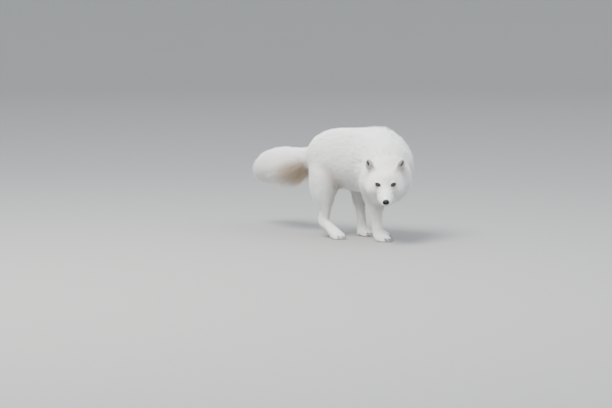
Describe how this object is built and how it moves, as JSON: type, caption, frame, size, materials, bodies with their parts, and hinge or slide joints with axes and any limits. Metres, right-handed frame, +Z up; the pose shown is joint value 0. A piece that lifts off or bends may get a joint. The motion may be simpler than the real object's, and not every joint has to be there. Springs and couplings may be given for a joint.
{
  "type": "arctic fox figure",
  "caption": "Life-size arctic fox in white winter coat, standing with arched back, lowered turned head and long brush tail.",
  "frame": {"origin": "on the floor, under the middle of the bounding box", "axes": "+X from tail to chest along the trunk, +Y to the fox's left, +Z up"},
  "size_m": [0.6812, 0.2884, 0.3386],
  "materials": {
    "coat": "soft matt white winter fur",
    "ear_coat": "matt short fur, greyer inside",
    "eye": "wet gloss, red-brown iris",
    "nose": "damp black leather",
    "claw": "satin horn"
  },
  "bodies": {
    "root": {"ear_left": "ear_coat", "ear_right": "ear_coat", "eye_left": "eye", "eye_right": "eye", "fore_claw_left_1": "claw", "fore_claw_left_2": "claw", "fore_claw_left_3": "claw", "fore_claw_left_4": "claw", "fore_claw_right_1": "claw", "fore_claw_right_2": "claw", "fore_claw_right_3": "claw", "fore_claw_right_4": "claw", "fore_foot_left": "coat", "fore_foot_right": "coat", "fore_leg_left": "coat", "fore_leg_right": "coat", "head": "coat", "hind_claw_left_1": "claw", "hind_claw_left_2": "claw", "hind_claw_left_3": "claw", "hind_claw_left_4": "claw", "hind_claw_right_1": "claw", "hind_claw_right_2": "claw", "hind_claw_right_3": "claw", "hind_claw_right_4": "claw", "hind_foot_left": "coat", "hind_foot_right": "coat", "hind_leg_left": "coat", "hind_leg_right": "coat", "neck": "coat", "nose": "nose", "tail": "coat", "trunk": "coat"}
  },
  "joints": []
}
